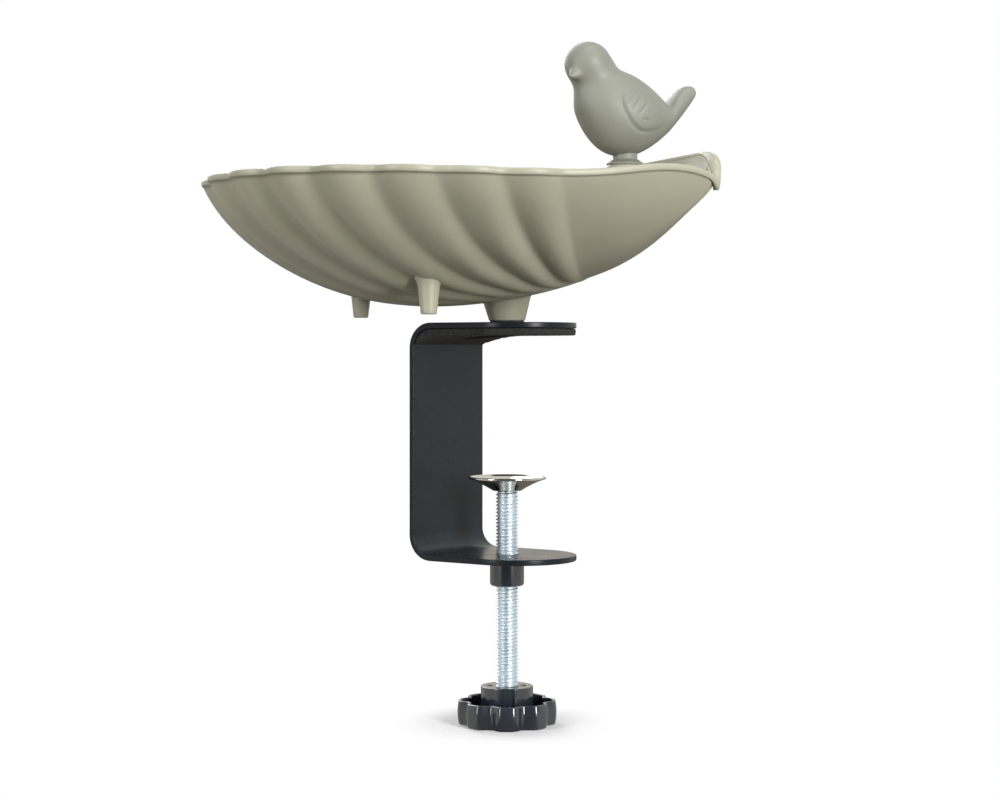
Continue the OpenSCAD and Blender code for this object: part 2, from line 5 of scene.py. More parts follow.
import bpy
import numpy as np
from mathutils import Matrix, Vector


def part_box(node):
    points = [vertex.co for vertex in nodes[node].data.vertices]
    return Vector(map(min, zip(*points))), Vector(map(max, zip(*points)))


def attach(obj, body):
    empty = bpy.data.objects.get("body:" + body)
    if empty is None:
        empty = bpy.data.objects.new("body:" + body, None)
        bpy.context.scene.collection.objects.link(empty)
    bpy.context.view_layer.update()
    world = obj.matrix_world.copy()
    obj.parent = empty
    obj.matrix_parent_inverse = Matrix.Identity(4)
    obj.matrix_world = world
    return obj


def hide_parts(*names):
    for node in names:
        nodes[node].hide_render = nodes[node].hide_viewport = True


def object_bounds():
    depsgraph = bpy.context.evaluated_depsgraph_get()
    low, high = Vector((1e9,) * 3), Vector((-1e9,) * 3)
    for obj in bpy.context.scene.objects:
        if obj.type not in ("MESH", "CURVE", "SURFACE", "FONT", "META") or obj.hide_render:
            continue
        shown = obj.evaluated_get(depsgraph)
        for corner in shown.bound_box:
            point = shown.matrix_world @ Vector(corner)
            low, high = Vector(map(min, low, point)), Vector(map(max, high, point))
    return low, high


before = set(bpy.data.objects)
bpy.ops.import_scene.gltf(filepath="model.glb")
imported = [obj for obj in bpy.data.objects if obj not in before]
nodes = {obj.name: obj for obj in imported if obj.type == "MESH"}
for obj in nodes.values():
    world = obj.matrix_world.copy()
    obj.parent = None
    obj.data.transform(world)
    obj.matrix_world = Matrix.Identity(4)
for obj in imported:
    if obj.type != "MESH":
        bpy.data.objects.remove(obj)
cad_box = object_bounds()
scene = bpy.context.scene
MM = 0.001


# Small helpers

def loose(name, points, faces):
    """A new object from points in millimetres, on no body yet."""
    mesh = bpy.data.meshes.new(name)
    mesh.from_pydata([tuple(float(c) * MM for c in p) for p in points], [], faces)
    mesh.update()
    piece = bpy.data.objects.new(name, mesh)
    scene.collection.objects.link(piece)
    return piece


def mesh_object(name, points, faces, body):
    """A new smooth piece from points in millimetres, riding on a body."""
    piece = loose(name, points, faces)
    piece.data.shade_smooth()
    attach(piece, body)
    return piece


def applied(piece):
    """The mesh of an object with its modifiers applied."""
    bpy.context.view_layer.update()
    return bpy.data.meshes.new_from_object(piece.evaluated_get(bpy.context.evaluated_depsgraph_get()))


def ring_faces(rings, columns):
    """Quads between rings of points that each close on themselves."""
    faces = []
    for a in range(0, (rings - 1) * columns, columns):
        for i in range(columns):
            n = (i + 1) % columns
            faces.append((a + i, a + n, a + columns + n, a + columns + i))
    return faces


def capped_faces(rings, columns):
    """Quads between rings, with a cap over the first ring and over the last."""
    last = (rings - 1) * columns
    caps = [tuple(range(columns - 1, -1, -1)), tuple(range(last, last + columns))]
    return ring_faces(rings, columns) + caps


def flipped(faces):
    return [tuple(reversed(f)) for f in faces]


def spin(columns):
    """Even turns about an axis, in radians."""
    return np.linspace(0, 2 * math.pi, columns, endpoint=False)


def spun(profile, columns):
    """Points of a profile of (radius, height) turned about the axis, ring by ring."""
    return [(r * math.cos(t), r * math.sin(t), z) for r, z in profile for t in spin(columns)]


def revolve(name, profile, body, columns=128):
    """A turned piece from a profile of (radius, height) that closes on itself."""
    faces = ring_faces(len(profile), columns)
    last = (len(profile) - 1) * columns
    faces += [(last + i, last + (i + 1) % columns, (i + 1) % columns, i) for i in range(columns)]
    return mesh_object(name, spun(profile, columns), faces, body)


def arc(radius, start, end, steps):
    """Points of an arc about the origin of a profile, with angles in degrees."""
    return [(radius * math.cos(a), radius * math.sin(a)) for a in np.radians(np.linspace(start, end, steps))]


def bevelled(piece, width, segments=3, angle=35):
    """Rounds the sharp edges of a piece and evens its shading."""
    bevel = piece.modifiers.new("Bevel", "BEVEL")
    bevel.width, bevel.segments = width * MM, segments
    bevel.limit_method, bevel.angle_limit = "ANGLE", math.radians(angle)
    piece.modifiers.new("WeightedNormal", "WEIGHTED_NORMAL").keep_sharp = False


def round_edges(node, width, segments=3, angle=35):
    """Joins the CAD node's split corners and rounds its sharp edges."""
    weld = nodes[node].modifiers.new("Weld", "WELD")
    weld.merge_threshold = 1e-6
    bevelled(nodes[node], width, segments, angle)


# Camera solved from the photo: level, with the horizon above the middle of the frame

IMAGE_W, IMAGE_H = 1000, 800
FOCAL_PX, HORIZON_Y, AXIS_X = 2044, 352, 507
CAMERA_TURN, CAMERA_FAR, CAMERA_Z = 35.0, 721.7, -5.8
side = Vector((math.cos(math.radians(CAMERA_TURN)), math.sin(math.radians(CAMERA_TURN)), 0))
ahead = Vector((-side.y, side.x, 0))
shift = (AXIS_X - IMAGE_W / 2) * CAMERA_FAR / FOCAL_PX
camera_data = bpy.data.cameras.new("photo_camera")
camera = bpy.data.objects.new("photo_camera", camera_data)
scene.collection.objects.link(camera)
camera_data.sensor_width = 36
camera_data.lens = 36 * FOCAL_PX / IMAGE_W
camera_data.shift_y = (HORIZON_Y - IMAGE_H / 2) / IMAGE_W
camera_data.clip_start = 0.01
camera.location = (-side * shift - ahead * CAMERA_FAR + Vector((0, 0, CAMERA_Z))) * MM
camera.rotation_euler = (math.radians(90), 0, math.radians(CAMERA_TURN))
scene.camera = camera


# Shell dish, with the same driving sizes as the CAD source

FAN_RADIUS, FAN_OFFSET = 89.5, 17.2
BOWL_OFFSET, BOWL_LOW, BOWL_HEIGHT = 30.0, 10.0, 41.0
BOWL_K, BOWL_POWER, LIFT_POWER, RIB_POWER = 0.985, 0.75, 14, 10
FRONT_RISE, WALL, SLOPE_STEP = 2.4, 2.6, 0.35
RIB_COUNT, FAN_ANGLE, UMBO_OFFSET, RIB_RELIEF = 13, 123.0, 33.4, 0.155
NEAR_RELIEF, NEAR_REACH, VALLEY_FLAT = 0.6, 65.0, 0.25
LAST_REACH, LAST_EASE, LAST_FADE = 80.0, 0.75, 1.2
BEAD_HEIGHT, BEAD_REACH, BEAD_MIDDLE = 2.2, 0.6, 0.45
BEAD_START, BEAD_END, BEAD_STEPS = -50, 205, 15
BEAD_FOOT_OUT, BEAD_FOOT_DROP = 0.18, 0.05
DISH_TURN = 56.4
HINGE_OFFSET, HINGE_RISE, HINGE_HALF, HINGE_SHOULDER = 47.5, 10.2, 58.5, 16.0
EAR_NOTCH, EAR_REACH, EAR_RISE = 1.0, 8.0, 3.4
EAR_SPREAD, EAR_CREST, NOTCH_SPREAD = 17.0, 13.0, 6.0
RIM_BLEND, CHORD_LIMIT = 26, 0.2
HINGE_LIP, LIP_FADE, LIP_START = 1.6, 5.0, 0.8
HINGE_SKIRT, SKIRT_IN, SKIRT_SHARE, ROLL_TOP, ROLL_SPAN = 3.4, 1.1, 0.95, 0.5, 1.27
BOSS_FOOT, BOSS_FOOT_D, BOSS_TOP_D = 5.2, 13.0, 17.8
FOOT_FORWARD, FOOT_SIDE, FOOT_END_D, FOOT_ROOT_D, FOOT_LIFT = 42.3, 37.0, 5.4, 8.0, 1.4
LEG_SINK, LEG_EDGE, LEG_FILLET, FILLET_SPAN, LEG_COLUMNS = 0.78, 0.5, 0.9, 0.28, 64
CORNER_BLUR, BLUR_STEPS = 70.0, np.linspace(-1, 1, 19)[1:-1]
BLUR_WEIGHTS = (1 + np.cos(math.pi * BLUR_STEPS)) / np.sum(1 + np.cos(math.pi * BLUR_STEPS))
FOLD_REACH, FOLD_PULL, FOLD_ROUNDS = 6.0, 0.5, 24
SEAT_OFFSET, SEAT_D, SEAT_STEP, POST_H = 45.9, 13.4, 0.2, 11.0
UMBO_START, SHELL_ROWS, ROW_POWER, RIB_COLUMNS = 1.5, 49, 1.35, 14
FAN_CORE, HALVINGS = 5.0, 30
AXIS_R = 0.01
RIM_Z = BOWL_LOW + BOWL_HEIGHT
SEAT_Z = RIM_Z + HINGE_RISE + SEAT_STEP
LEAD = BOWL_OFFSET - FAN_OFFSET
HINGE_DEEP = HINGE_OFFSET + BOWL_OFFSET
CORNER = math.degrees(math.atan2(HINGE_HALF + HINGE_SHOULDER, HINGE_DEEP))
RIB_ANGLE = FAN_ANGLE / RIB_COUNT


def sind(a):
    return np.sin(np.radians(a))


def cosd(a):
    return np.cos(np.radians(a))


def bump(t, centre, width):
    """A soft bump at the same angle on both sides."""
    return np.exp(-((np.abs(t) - centre) / width) ** 2)


def round_r(t):
    """Radius of the round outline with its ears, from the lowest point of the bowl."""
    fan = LEAD * cosd(t) + np.sqrt(FAN_RADIUS ** 2 - (LEAD * sind(t)) ** 2)
    return fan + EAR_REACH * bump(t, CORNER, EAR_SPREAD)


def rim_r(t):
    """Radius of the whole outline, cut off along the hinge edge."""
    chord = np.where(cosd(t) > CHORD_LIMIT, HINGE_DEEP / np.maximum(cosd(t), CHORD_LIMIT), 5 * FAN_RADIUS)
    return (round_r(t) ** -RIM_BLEND + chord ** -RIM_BLEND) ** (-1 / RIM_BLEND)


def ear_z(t):
    return EAR_RISE * bump(t, CORNER + EAR_CREST, EAR_CREST) - EAR_NOTCH * bump(t, CORNER, NOTCH_SPREAD)


def shoulder(v):
    """The rounded ends of the hinge edge, falling from 1 to 0."""
    q = np.clip((v - HINGE_HALF) / HINGE_SHOULDER, 0, 1)
    return np.sqrt(1 - q * q)


def edge_z(t):
    """Height of the wall under the bead, all round the rim."""
    low = ear_z(CORNER)
    hinge = low + (HINGE_RISE - low) * shoulder(np.abs(rim_r(t) * sind(t)))
    front = FRONT_RISE * np.maximum(0, -cosd(t))
    return RIM_Z - BEAD_HEIGHT + front + np.where(np.abs(t) < CORNER, hinge, ear_z(t))


def bowl_g(s):
    """Share of the bowl's rise at a share of its radius."""
    return (1 - (1 - (BOWL_K * s) ** 2) ** BOWL_POWER) / (1 - (1 - BOWL_K ** 2) ** BOWL_POWER)


def polar(u, v):
    """Distance and angle of a place from the lowest point of the bowl."""
    return np.hypot(u + BOWL_OFFSET, v), np.degrees(np.arctan2(v, u + BOWL_OFFSET))


def bowl_s(u, v):
    """Height of the under side of the bowl without its ribs."""
    r, t = polar(u, v)
    rise = BOWL_HEIGHT - BEAD_HEIGHT
    lift = 0
    blur = CORNER_BLUR * (1 - np.minimum(1, r / rim_r(t)))
    for k, weight in zip(BLUR_STEPS, BLUR_WEIGHTS):
        near = t + blur * k
        end = BOWL_LOW + rise * bowl_g(np.minimum(1, rim_r(near) / round_r(near)))
        lift = lift + weight * (edge_z(near) - end) * np.minimum(1, r / rim_r(near)) ** LIFT_POWER
    return BOWL_LOW + rise * bowl_g(np.minimum(1, r / round_r(t))) + lift


def fan_uv(a, d):
    """The place at an angle and a distance from the umbo, where the ribs start."""
    return UMBO_OFFSET - d * cosd(a), -d * sind(a)


def reach(a):
    """Distance from the umbo to the rim along each fan angle, by halving."""
    low, high = np.full_like(a, FAN_CORE), np.full_like(a, 3 * FAN_RADIUS)
    for _ in range(HALVINGS):
        mid = (low + high) / 2
        r, t = polar(*fan_uv(a, mid))
        out = r > rim_r(t)
        low, high = np.where(out, low, mid), np.where(out, mid, high)
    return (low + high) / 2


def groove(a, d):
    """Depth of the rounded valleys between the ribs, fading out past the last rib."""
    x = a / RIB_ANGLE
    f = 2 * np.abs(x - np.round(x))
    past = np.maximum(0, np.abs(a) - FAN_ANGLE / 2) / (RIB_ANGLE * LAST_FADE)
    width = d * math.radians(RIB_ANGLE) * (1 + NEAR_RELIEF * np.exp(-(d / NEAR_REACH) ** 2))
    valley = f ** 2 * (1 - VALLEY_FLAT * f ** 6) / (1 - VALLEY_FLAT)
    last = np.clip((np.abs(a) - FAN_ANGLE / 2) / RIB_ANGLE + 1, 0, 1) * np.exp(-(d / LAST_REACH) ** 2)
    return RIB_RELIEF * width * (1 - LAST_EASE * last) * np.where(past <= 0, valley, np.exp(-past * past))


def wall_slope(u, v):
    """Slope of the wall away from the lowest point, just inside a place on it, and that direction."""
    r = np.maximum(polar(u, v)[0], 1e-6)
    across = np.stack([(u + BOWL_OFFSET) / r, v / r], -1)
    inner, outer = [bowl_s((u + BOWL_OFFSET) * k - BOWL_OFFSET, v * k)
                    for k in ((r - 2 * SLOPE_STEP) / r, (r - SLOPE_STEP) / r)]
    return (outer - inner) / SLOPE_STEP, across


def wall_normal(u, v):
    """Outward direction of the wall."""
    rise, across = wall_slope(u, v)
    n = np.concatenate([across * rise[..., None], -np.ones_like(rise)[..., None]], -1)
    return n / np.linalg.norm(n, axis=-1, keepdims=True)


def skin(a, d, depth):
    """Points of the ribbed wall at a depth from its under side."""
    u, v = fan_uv(a, d)
    n = wall_normal(u, v)
    r, t = polar(u, v)
    cut = groove(a, d)[..., None] * n
    cut[..., 2] *= 1 - np.minimum(1, r / rim_r(t)) ** RIB_POWER
    return np.stack([u, v, bowl_s(u, v)], -1) - cut - depth * n


def to_frame(points):
    """Turns points of the shell about the boss into the CAD frame."""
    p = np.asarray(points, float)
    c, s = math.cos(math.radians(DISH_TURN)), math.sin(math.radians(DISH_TURN))
    return np.stack([p[..., 0] * c - p[..., 1] * s, p[..., 0] * s + p[..., 1] * c, p[..., 2]], -1)


def back_angles():
    """Fan angles of close places along the rim behind the ribs: hinge edge, its rounded ends, ears."""
    edge = np.array([FAN_ANGLE / 2])
    fan_end = abs(polar(*fan_uv(edge, reach(edge)))[1][0])
    hinge = np.linspace(0, HINGE_HALF, 50)[1:]
    ends = HINGE_HALF + HINGE_SHOULDER * sind(np.linspace(0, 90, 25)[1:])
    straight = np.degrees(np.arctan2(np.concatenate([hinge, ends]), HINGE_DEEP))
    ears = CORNER + (fan_end - CORNER) * np.linspace(0, 1, 70)[1:-1] ** 1.3
    half = np.concatenate([straight, ears])
    t = np.concatenate([-half[::-1], [0], half])
    return np.degrees(np.arctan2(-rim_r(t) * sind(t), UMBO_OFFSET + BOWL_OFFSET - rim_r(t) * cosd(t)))


def shell_grid():
    """Rings of the shell from the umbo out to the rim, over the bead and back inside."""
    ribs = np.linspace(-FAN_ANGLE / 2, FAN_ANGLE / 2, RIB_COUNT * RIB_COLUMNS + 1)
    angles = np.concatenate([ribs, back_angles()])
    out = reach(angles)
    rows = 1 - (1 - np.linspace(0, 1, SHELL_ROWS)) ** ROW_POWER
    outer = [skin(angles, UMBO_START + (out - UMBO_START) * t, 0) for t in rows]
    inner = [skin(angles, UMBO_START + (out - UMBO_START) * t, WALL) for t in rows[::-1]]
    rim = outer[-1]
    inward = inner[0] - rim
    inward[:, 2] = 0
    u, v = fan_uv(angles, out)
    turn = polar(u, v)[1]
    share = np.clip((CORNER - np.abs(turn)) / LIP_FADE + LIP_START, 0, 1)
    lip = BEAD_REACH + HINGE_LIP * share
    way = np.stack([np.roll(u, -1) - np.roll(u, 1), np.roll(v, -1) - np.roll(v, 1)], -1)
    way /= np.linalg.norm(way, axis=1)[:, None]
    outward = np.stack([way[:, 1], -way[:, 0], np.zeros_like(u)], -1) * lip[:, None]
    under = rim + outward * ((BEAD_FOOT_OUT * (1 - share) - SKIRT_IN * share) / lip)[:, None]
    under[:, 2] -= BEAD_FOOT_DROP * (1 - share) + SKIRT_SHARE * HINGE_SKIRT * share
    bead = [under]
    for phi in np.linspace(BEAD_START, BEAD_END, BEAD_STEPS):
        side_way = cosd(phi)
        place = outward * side_way if side_way >= 0 else inward * -side_way
        roll = np.clip((ROLL_TOP - sind(phi)) / ROLL_SPAN, 0, 1) * (phi < 90)
        ring = rim + place
        ring[:, 2] += BEAD_HEIGHT * (BEAD_MIDDLE + (1 - BEAD_MIDDLE) * sind(phi)) - HINGE_SKIRT * roll * share
        bead.append(ring)
    return ease_corners(np.stack(outer + bead + inner), rim, turn)


def ease_corners(grid, rim, turn):
    """Rounds the fold where the hinge edge drops to the ears, by averaging along the rings."""
    weight = 0
    for corner_turn in (-CORNER, CORNER):
        corner = rim[np.argmin(np.abs(turn - corner_turn))]
        weight = weight + FOLD_PULL * np.exp(-(np.linalg.norm(grid - corner, axis=2) / FOLD_REACH) ** 2)
    for _ in range(FOLD_ROUNDS):
        mean = (np.roll(grid, 1, axis=1) + np.roll(grid, -1, axis=1)) / 2
        grid = grid + (mean - grid) * weight[..., None]
    return grid


def shell_dish():
    """The shell's skin, closed by a point inside and outside at the umbo."""
    grid = shell_grid()
    rings, columns = grid.shape[:2]
    tips = [skin(np.array([0.0]), np.array([AXIS_R]), depth)[0] for depth in (0, WALL)]
    faces = ring_faces(rings, columns)
    last = rings * columns
    end = last - columns
    faces += [(last, (i + 1) % columns, i) for i in range(columns)]
    faces += [(last + 1, end + i, end + (i + 1) % columns) for i in range(columns)]
    return mesh_object("shell_skin", to_frame(np.vstack([grid.reshape(-1, 3), tips])), faces, "dish")


shell = shell_dish()
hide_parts("shell_dish")


def leg(name, u, v, low, r_low, r_high, high=None):
    """A round leg under the bowl, its top laid along the wall, or a level post where the top is given."""
    rise, across = wall_slope(np.array(u), np.array(v))
    lean = across * rise
    if high is None:
        high = float(bowl_s(np.array(u), np.array(v))) + WALL * LEG_SINK
    else:
        lean = lean * 0
    profile = [(AXIS_R, 0.0, 0.0)]
    profile += [(r_low - LEG_EDGE + x, LEG_EDGE + z, 0.0) for x, z in arc(LEG_EDGE, -90, 0, 6)]
    for q in np.linspace(0.1, 1, 14):
        fillet = LEG_FILLET * max(0.0, (q - 1 + FILLET_SPAN) / FILLET_SPAN) ** 2 * (r_high > r_low)
        profile.append((r_low + (r_high - r_low) * q + fillet, LEG_EDGE + (high - low - LEG_EDGE) * q, q))
    profile.append((AXIS_R, high - low, 1.0))
    points = []
    for r, z, q in profile:
        for t in spin(LEG_COLUMNS):
            x, y = r * math.cos(t), r * math.sin(t)
            points.append((u + x, v + y, low + z + q * (lean[0] * x + lean[1] * y)))
    piece = mesh_object(name, to_frame(points), capped_faces(len(profile), LEG_COLUMNS), "dish")
    return piece


legs = [leg("dish_boss", 0.0, 0.0, BOSS_FOOT, BOSS_FOOT_D / 2, BOSS_TOP_D / 2),
        leg("bird_post", SEAT_OFFSET, 0.0, SEAT_Z - POST_H, SEAT_D / 2, SEAT_D / 2, SEAT_Z)]
for name, v in (("dish_foot_near", -FOOT_SIDE), ("dish_foot_far", FOOT_SIDE)):
    legs.append(leg(name, -FOOT_FORWARD, v, BOSS_FOOT + FOOT_LIFT, FOOT_END_D / 2, FOOT_ROOT_D / 2))
cast_parts = [shell] + legs


# Bird: body, head and beak grown into one skin, then wings pressed into it

SEAT_T, SEAT_EDGE, SEAT_FILLET, SEAT_COLUMNS, NECK_D = 2.0, 0.6, 0.7, 72, 8.8
HEAD_D, HEAD_FORWARD, HEAD_LIFT, HEAD_TURN = 17.2, 14.7, 35.5, 31.0
BEAK_REACH, BEAK_DIP, BEAK_ROOT, BEAK_SHARE, BEAK_TIP = 12.6, 26.0, 0.3, 0.25, 0.45
BODY_HALF, BREAST_REACH, TAIL_REACH, TAIL_LIFT, TAIL_T = 12.9, 19.4, 27.9, 26.3, 3.9
BELLY_LIFT, BACK_LIFT = 3.3, 35.0
BELLY_AT, BACK_AT, WIDE_AT, TAIL_AT = 0.6, 0.76, 0.63, 0.045
BREAST_RISE, RUMP_DROP, RUMP_SPAN, NECK_DROP = 0.53, 0.385, 0.49, 0.325
TAIL_DROP, TAIL_SPAN = 8.5, 0.22
NAPE_WAY, NAPE_SHARE = Vector((-6.0, 0.0, -7.1)), 0.92
THROAT_WAY, THROAT_R = Vector((-1.0, 0.0, -10.0)), 6.4
LUMP_SIDES, BODY_STATIONS, BALL_RINGS, BEAK_RINGS, VOXEL = 48, 60, 31, 20, 0.42
BODY_DEEP = BACK_LIFT - BELLY_LIFT
BODY_LONG = BREAST_REACH + TAIL_REACH
HEAD_AT = Vector((HEAD_FORWARD, 0, HEAD_LIFT))
BEAK_WAY = Vector((cosd(HEAD_TURN) * cosd(BEAK_DIP), sind(HEAD_TURN) * cosd(BEAK_DIP), -sind(BEAK_DIP)))


def bird_section(q):
    """Under side, back and half width of the body, with q from the tail tip to the breast."""
    if q < BELLY_AT:
        low = BELLY_LIFT + (TAIL_LIFT - BELLY_LIFT) * ((BELLY_AT - q) / BELLY_AT) ** 1.75
    else:
        low = BELLY_LIFT + BREAST_RISE * BODY_DEEP * ((q - BELLY_AT) / (1 - BELLY_AT)) ** 2.6
    if q < BACK_AT:
        back = BACK_LIFT - RUMP_DROP * BODY_DEEP * ((BACK_AT - q) / RUMP_SPAN) ** 2
        thick = TAIL_T * (1 - 0.4 * math.exp(-q / 0.012))
        top = max(back, TAIL_LIFT + thick - TAIL_DROP * ((q - TAIL_AT) / TAIL_SPAN) ** 2)
    else:
        top = BACK_LIFT - NECK_DROP * BODY_DEEP * ((q - BACK_AT) / (1 - BACK_AT)) ** 2.2
    if q < WIDE_AT:
        half = 0.3 + 0.7 * math.sin(math.pi / 2 * q / WIDE_AT) ** 1.5
    else:
        half = max(0.15, math.sqrt(max(0.0, 1 - ((q - WIDE_AT) / (1 - WIDE_AT)) ** 2.4)))
    return low, top, BODY_HALF * half * (1 - 0.55 * math.exp(-q / 0.02))


def bird_lumps():
    """Closed lumps that overlap: body, head, nape, throat and beak, in the bird's own axes."""
    turns = spin(LUMP_SIDES)
    points = []
    for a in np.linspace(0, math.pi, BODY_STATIONS):
        q = 0.5 - 0.5 * math.cos(a)
        low, top, half = bird_section(q)
        points += [(q * BODY_LONG - TAIL_REACH, half * math.cos(t),
                    (low + top) / 2 + (top - low) / 2 * math.sin(t)) for t in turns]
    lumps = [(points, flipped(capped_faces(BODY_STATIONS, LUMP_SIDES)))]
    balls = [(HEAD_AT, HEAD_D / 2)]
    for share in (0.25, 0.5, 0.75, 1.0):
        balls.append((HEAD_AT + NAPE_WAY * share, HEAD_D / 2 * (1 - (1 - NAPE_SHARE) * share)))
    balls.append((HEAD_AT + THROAT_WAY, THROAT_R))
    heights = np.radians(np.linspace(-89, 89, BALL_RINGS))
    for middle, radius in balls:
        ball = spun([(radius * math.cos(a), radius * math.sin(a)) for a in heights], LUMP_SIDES)
        points = [(middle.x + x, middle.y + y, middle.z + z) for x, y, z in ball]
        lumps.append((points, capped_faces(BALL_RINGS, LUMP_SIDES)))
    right = BEAK_WAY.cross(Vector((0, 0, 1))).normalized()
    up = right.cross(BEAK_WAY)
    points = []
    for q in np.linspace(0, 1, BEAK_RINGS):
        middle = HEAD_AT + BEAK_WAY * (HEAD_D * BEAK_ROOT + (BEAK_REACH - HEAD_D * BEAK_ROOT) * q)
        radius = HEAD_D * BEAK_SHARE * (1 - q) ** 1.15 + BEAK_TIP * math.sqrt(max(0.0, 1 - q)) + 0.02
        points += [tuple(middle + (right * math.cos(t) + up * math.sin(t)) * radius) for t in turns]
    lumps.append((points, flipped(capped_faces(BEAK_RINGS, LUMP_SIDES))))
    return lumps


def smooth_weld(points, edges, weight, rounds):
    """Pulls each point towards the mean of its neighbours, by its own weight."""
    a, b = edges[:, 0], edges[:, 1]
    count = np.zeros(len(points))
    np.add.at(count, a, 1)
    np.add.at(count, b, 1)
    for _ in range(rounds):
        total = np.zeros_like(points)
        np.add.at(total, a, points[b])
        np.add.at(total, b, points[a])
        points = points + (total / count[:, None] - points) * weight[:, None]
    return points


def near_line(p, line):
    """Distance of each flat point from a polyline, and how far along the line it is, from 0 to 1."""
    line = np.asarray(line, float)
    lengths = np.linalg.norm(np.diff(line, axis=0), axis=1)
    begin = np.concatenate([[0], np.cumsum(lengths)])
    best = np.full(len(p), 1e9)
    place = np.zeros(len(p))
    for i, length in enumerate(lengths):
        step = (line[i + 1] - line[i]) / length
        q = np.clip((p - line[i]) @ step, 0, length)
        d = np.linalg.norm(p - line[i] - q[:, None] * step, axis=1)
        closer = d < best
        best = np.where(closer, d, best)
        place = np.where(closer, (begin[i] + q) / begin[-1], place)
    return best, place


def curve(points, steps=12):
    """A smooth line through a few given points."""
    p = np.asarray(points, float)
    p = np.vstack([2 * p[0] - p[1], p, 2 * p[-1] - p[-2]])
    out = []
    for i in range(1, len(p) - 2):
        for t in np.linspace(0, 1, steps, endpoint=False):
            a, b, c, d = p[i - 1], p[i], p[i + 1], p[i + 2]
            out.append(0.5 * (2 * b + (c - a) * t + (2 * a - 5 * b + 4 * c - d) * t ** 2
                              + (3 * b - a - 3 * c + d) * t ** 3))
    out.append(p[-2])
    return out


WING_FRONT = [(2.4, 27.6), (6.4, 24.6), (6.9, 21.0), (5.2, 17.0),
              (2.2, 13.4), (-1.6, 11.4), (-7.4, 12.2), (-12, 14.6)]
WING_BACK = [(-12, 14.6), (-12.5, 19.0), (-9.0, 23.0), (-3.5, 26.6), (2.4, 27.6)]
FEATHERS = [[(3.6, 25.2), (5.6, 23.0)], [(1.4, 24.6), (4.6, 21.2)], [(-1.0, 23.6), (3.2, 19.0)],
            [(-3.2, 21.6), (0.6, 17.4)], [(-1.0, 15.8), (-4.0, 15.2)]]
WING_LIFT, WING_CUT, WING_CUT_WIDE = 0.4, 0.3, 0.7
BACK_CUT, BACK_CUT_WIDE, FEATHER_CUT, FEATHER_WIDE = 0.12, 0.6, 0.3, 0.45


def inside(p, loop):
    """Whether each flat point is inside a closed loop."""
    loop = np.asarray(loop)
    hit = np.zeros(len(p), bool)
    for (ax, az), (bx, bz) in zip(loop, np.roll(loop, -1, axis=0)):
        crosses = (az > p[:, 1]) != (bz > p[:, 1])
        at = (bx - ax) * (p[:, 1] - az) / (bz - az + 1e-12) + ax
        hit ^= crosses & (p[:, 0] < at)
    return hit


def wing_relief(points):
    """How far the wing lifts the skin of the bird, seen from its side."""
    p = points[:, [0, 2]]
    front, back = curve(WING_FRONT), curve(WING_BACK)
    d_front, along = near_line(p, front)
    d_back, _ = near_line(p, back)
    within = inside(p, np.vstack([front, back]))
    fade = np.clip((1 - along) * 3.2, 0, 1) * np.clip(along * 6, 0, 1)
    lift = np.where(within, WING_LIFT * np.minimum(1, np.minimum(d_front / 1.5, d_back / 4.5)), 0)
    lift -= WING_CUT * np.exp(-(d_front / WING_CUT_WIDE) ** 2) * fade
    lift -= BACK_CUT * np.exp(-(d_back / BACK_CUT_WIDE) ** 2) * np.clip((p[:, 1] - 20) / 3, 0, 1)
    for stroke in FEATHERS:
        d, t = near_line(p, stroke)
        ends = np.sin(np.pi * np.clip(t, 0.02, 0.98)) ** 0.5
        lift -= FEATHER_CUT * np.exp(-(d / FEATHER_WIDE) ** 2) * ends
    return lift


def bird_to_frame(points):
    """Turns points of the bird to face the bowl, on its seat, into the CAD frame."""
    p = np.asarray(points, float)
    return to_frame(np.stack([SEAT_OFFSET - p[:, 0], -p[:, 1], SEAT_Z + p[:, 2]], -1))


def mesh_array(data, name, width, kind=float):
    """One property of all vertices or edges of a mesh, a row each."""
    flat = np.zeros(len(data) * width, kind)
    data.foreach_get(name, flat)
    return flat.reshape(-1, width)


def bird_body():
    """The lumps joined into one skin, eased at the neck and the tail, with the wings pressed in."""
    points, faces = [], []
    for some, quads in bird_lumps():
        faces += [tuple(len(points) + i for i in f) for f in quads]
        points += some
    mesh = bpy.data.meshes.new("bird_lumps")
    mesh.from_pydata(points, [], faces)
    lump = bpy.data.objects.new("bird_lumps", mesh)
    scene.collection.objects.link(lump)
    remesh = lump.modifiers.new("Remesh", "REMESH")
    remesh.mode, remesh.voxel_size = "VOXEL", VOXEL
    skin_mesh = applied(lump)
    bpy.data.objects.remove(lump)
    p = mesh_array(skin_mesh.vertices, "co", 3)
    edges = mesh_array(skin_mesh.edges, "vertices", 2, int)
    tip = np.array(HEAD_AT + BEAK_WAY * BEAK_REACH)
    from_beak = np.clip((np.linalg.norm(p - tip, axis=1) - 5) / 3, 0, 1)
    at_neck = np.exp(-((p[:, 2] - 28.5) / 5.5) ** 2) * np.clip((p[:, 0] + 2) / 6, 0, 1) * from_beak
    at_tail = np.clip((-11 - p[:, 0]) / 5, 0, 1)
    p = smooth_weld(p, edges, np.full(len(p), 0.5), 5)
    p = smooth_weld(p, edges, 0.6 * np.clip(at_neck * 1.3, 0, 1), 110)
    p = smooth_weld(p, edges, 0.5 * at_tail, 14)
    skin_mesh.vertices.foreach_set("co", p.ravel())
    skin_mesh.update()
    normal = mesh_array(skin_mesh.vertices, "normal", 3)
    weight = np.clip((np.abs(normal[:, 1]) - 0.15) / 0.3, 0, 1)
    p = p + normal * (wing_relief(p) * weight)[:, None]
    polys = [tuple(f.vertices) for f in skin_mesh.polygons]
    bpy.data.meshes.remove(skin_mesh)
    return mesh_object("bird_body", bird_to_frame(p), polys, "dish")


